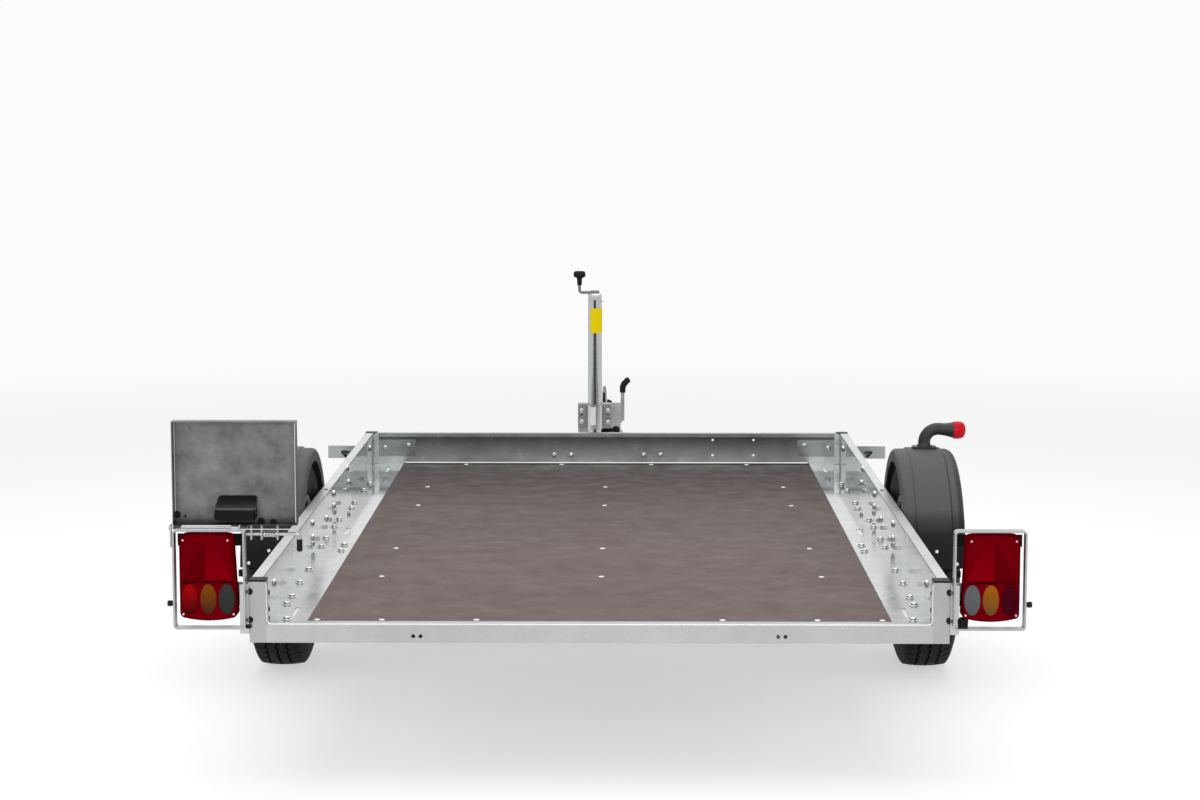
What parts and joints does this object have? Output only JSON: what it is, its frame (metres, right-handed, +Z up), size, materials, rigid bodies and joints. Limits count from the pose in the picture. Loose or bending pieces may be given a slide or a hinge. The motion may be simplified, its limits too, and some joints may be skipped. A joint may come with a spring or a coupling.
{
  "type": "utility trailer",
  "caption": "Low single-axle flatbed trailer with folded steel walls, plywood floor, plastic mudguards, rear lamps, overrun drawbar and jockey wheel.",
  "frame": {"origin": "on the ground, under the middle of the bounding box", "axes": "+Y is the way the trailer is towed, +X its right side seen from behind, +Z up"},
  "size_m": [1.938, 3.87, 0.9453],
  "materials": {
    "galvanised_steel": "hot-dip galvanised, dull spangle",
    "posts": "hot-dip galvanised tube",
    "black_plastic": "matte",
    "plywood": "brown film-faced anti-slip plywood",
    "tyre": "matte rubber",
    "rim": "silver painted",
    "hub": "dull",
    "mudguard": "moulded, satin",
    "marker_lens": "clear and red moulded lens",
    "red_lens": "moulded lens",
    "amber_lens": "moulded lens",
    "clear_lens": "moulded lens",
    "lamp_guard": "galvanised flat bar",
    "black_bolt": "black",
    "plate_tray": "galvanised sheet, mottled",
    "zinc_steel": "bright zinc plated",
    "casting": "grey, satin",
    "jockey_wheel": "solid rubber"
  },
  "bodies": {
    "chassis": {"side_walls": "galvanised_steel", "front_wall": "galvanised_steel", "rear_sill": "galvanised_steel", "corner_posts": "posts", "corner_caps": "black_plastic", "floor_panel": "plywood", "cross_members": "galvanised_steel", "corner_brackets": "galvanised_steel", "drawbar_beams": "galvanised_steel", "drawbar_brackets": "galvanised_steel", "axle_beam": "galvanised_steel", "axle_brackets": "galvanised_steel", "swing_arms": "galvanised_steel", "mudguards": "mudguard", "mudguard_brackets": "galvanised_steel", "marker_arms": "black_plastic", "marker_lenses": "marker_lens", "lamp_guards": "lamp_guard", "lamp_brackets": "galvanised_steel", "lamp_bases": "black_plastic", "red_lenses": "red_lens", "amber_lenses": "amber_lens", "clear_lenses": "clear_lens", "stop_bolts": "black_bolt", "tray_hinge": "lamp_guard", "drawbar_head": "galvanised_steel", "overrun_housing": "casting", "overrun_tube": "zinc_steel", "gaiter": "black_plastic", "coupling_head": "casting", "coupling_handle": "casting", "brake_lever": "zinc_steel", "brake_grip": "black_plastic", "jack_clamp": "zinc_steel", "jack_tube": "zinc_steel", "jack_crank": "zinc_steel", "crank_knob": "black_plastic"},
    "wheel_left": {"tyre_left": "tyre", "rim_left": "rim", "hub_left": "hub"},
    "wheel_right": {"tyre_right": "tyre", "rim_right": "rim", "hub_right": "hub"},
    "jack_leg": {"jack_leg": "zinc_steel"},
    "jack_fork": {"jack_fork": "zinc_steel"},
    "jockey_wheel": {"jockey_wheel": "jockey_wheel"},
    "plate_holder": {"plate_tray": "plate_tray", "plate_lamp": "black_plastic", "latch_rod": "lamp_guard", "latch_sleeve": "black_plastic"}
  },
  "joints": [
    {"name": "wheel_left_spin", "type": "hinge", "parent": "chassis", "child": "wheel_left", "pos_m": [-0.858, -0.68, 0.28], "axis": [1, 0, 0], "continuous": true},
    {"name": "wheel_right_spin", "type": "hinge", "parent": "chassis", "child": "wheel_right", "pos_m": [0.858, -0.68, 0.28], "axis": [1, 0, 0], "continuous": true},
    {"name": "jack_leg_slide", "type": "slide", "parent": "chassis", "child": "jack_leg", "axis": [0, 0, 1], "range_m": [-0.15, 0.025]},
    {"name": "jack_fork_swivel", "type": "hinge", "parent": "jack_leg", "child": "jack_fork", "pos_m": [-0.042, 1.117, 0.223], "axis": [0, 0, 1], "continuous": true},
    {"name": "jockey_wheel_spin", "type": "hinge", "parent": "jack_fork", "child": "jockey_wheel", "pos_m": [-0.042, 1.079, 0.1], "axis": [1, 0, 0], "continuous": true},
    {"name": "plate_holder_fold", "type": "hinge", "parent": "chassis", "child": "plate_holder", "pos_m": [-0.8005, -1.925, 0.5775], "axis": [1, 0, 0], "range_deg": [0, 90]}
  ]
}
